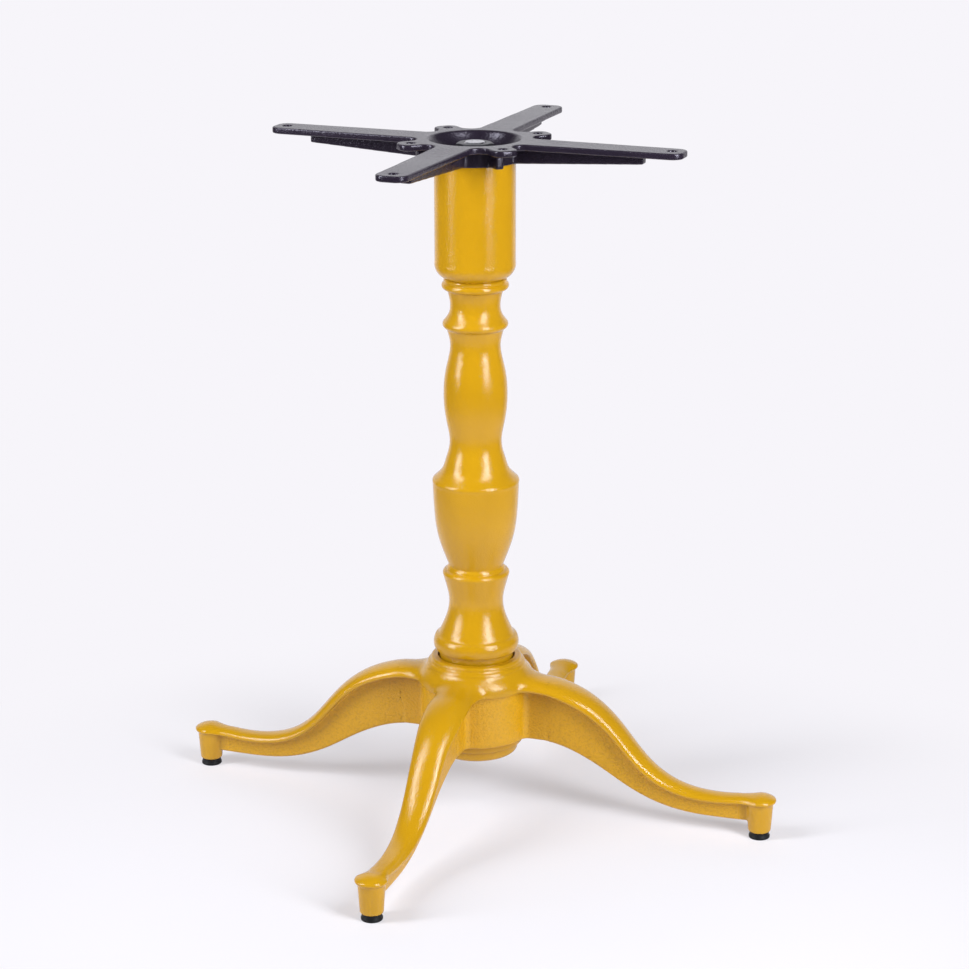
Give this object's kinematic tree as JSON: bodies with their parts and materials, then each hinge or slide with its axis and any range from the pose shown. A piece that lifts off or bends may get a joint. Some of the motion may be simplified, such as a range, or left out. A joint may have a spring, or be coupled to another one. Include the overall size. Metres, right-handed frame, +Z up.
{
  "type": "table base",
  "caption": "Pedestal table base with a turned column, splayed cabriole legs on levelling glides and a ribbed top spider.",
  "frame": {"origin": "on the floor, under the middle of the column", "axes": "+Z up along the column; the four legs point along +X, +Y, -X and -Y"},
  "size_m": [0.6602, 0.6602, 0.72],
  "materials": {
    "yellow_coat": "glossy powder coat over sand-cast iron",
    "black_cast": "satin black paint over cast iron",
    "black_steel": "black oxide",
    "zinc_steel": "bright zinc plate",
    "black_plastic": "moulded, slightly shiny"
  },
  "bodies": {
    "root": {"base_casting": "yellow_coat", "column": "yellow_coat", "top_spider": "black_cast", "tie_rod": "zinc_steel", "top_nut": "black_steel", "top_washer": "black_steel", "bottom_nut": "zinc_steel", "bottom_washer": "zinc_steel"},
    "glide_1": {"glide_pad_1": "black_plastic", "glide_stud_1": "zinc_steel"},
    "glide_2": {"glide_pad_2": "black_plastic", "glide_stud_2": "zinc_steel"},
    "glide_3": {"glide_pad_3": "black_plastic", "glide_stud_3": "zinc_steel"},
    "glide_4": {"glide_pad_4": "black_plastic", "glide_stud_4": "zinc_steel"}
  },
  "joints": [
    {"name": "glide_1_screw", "type": "slide", "parent": "root", "child": "glide_1", "axis": [0, 0, -1], "range_m": [0, 0.01]},
    {"name": "glide_2_screw", "type": "slide", "parent": "root", "child": "glide_2", "axis": [0, 0, -1], "range_m": [0, 0.01]},
    {"name": "glide_3_screw", "type": "slide", "parent": "root", "child": "glide_3", "axis": [0, 0, -1], "range_m": [0, 0.01]},
    {"name": "glide_4_screw", "type": "slide", "parent": "root", "child": "glide_4", "axis": [0, 0, -1], "range_m": [0, 0.01]}
  ]
}
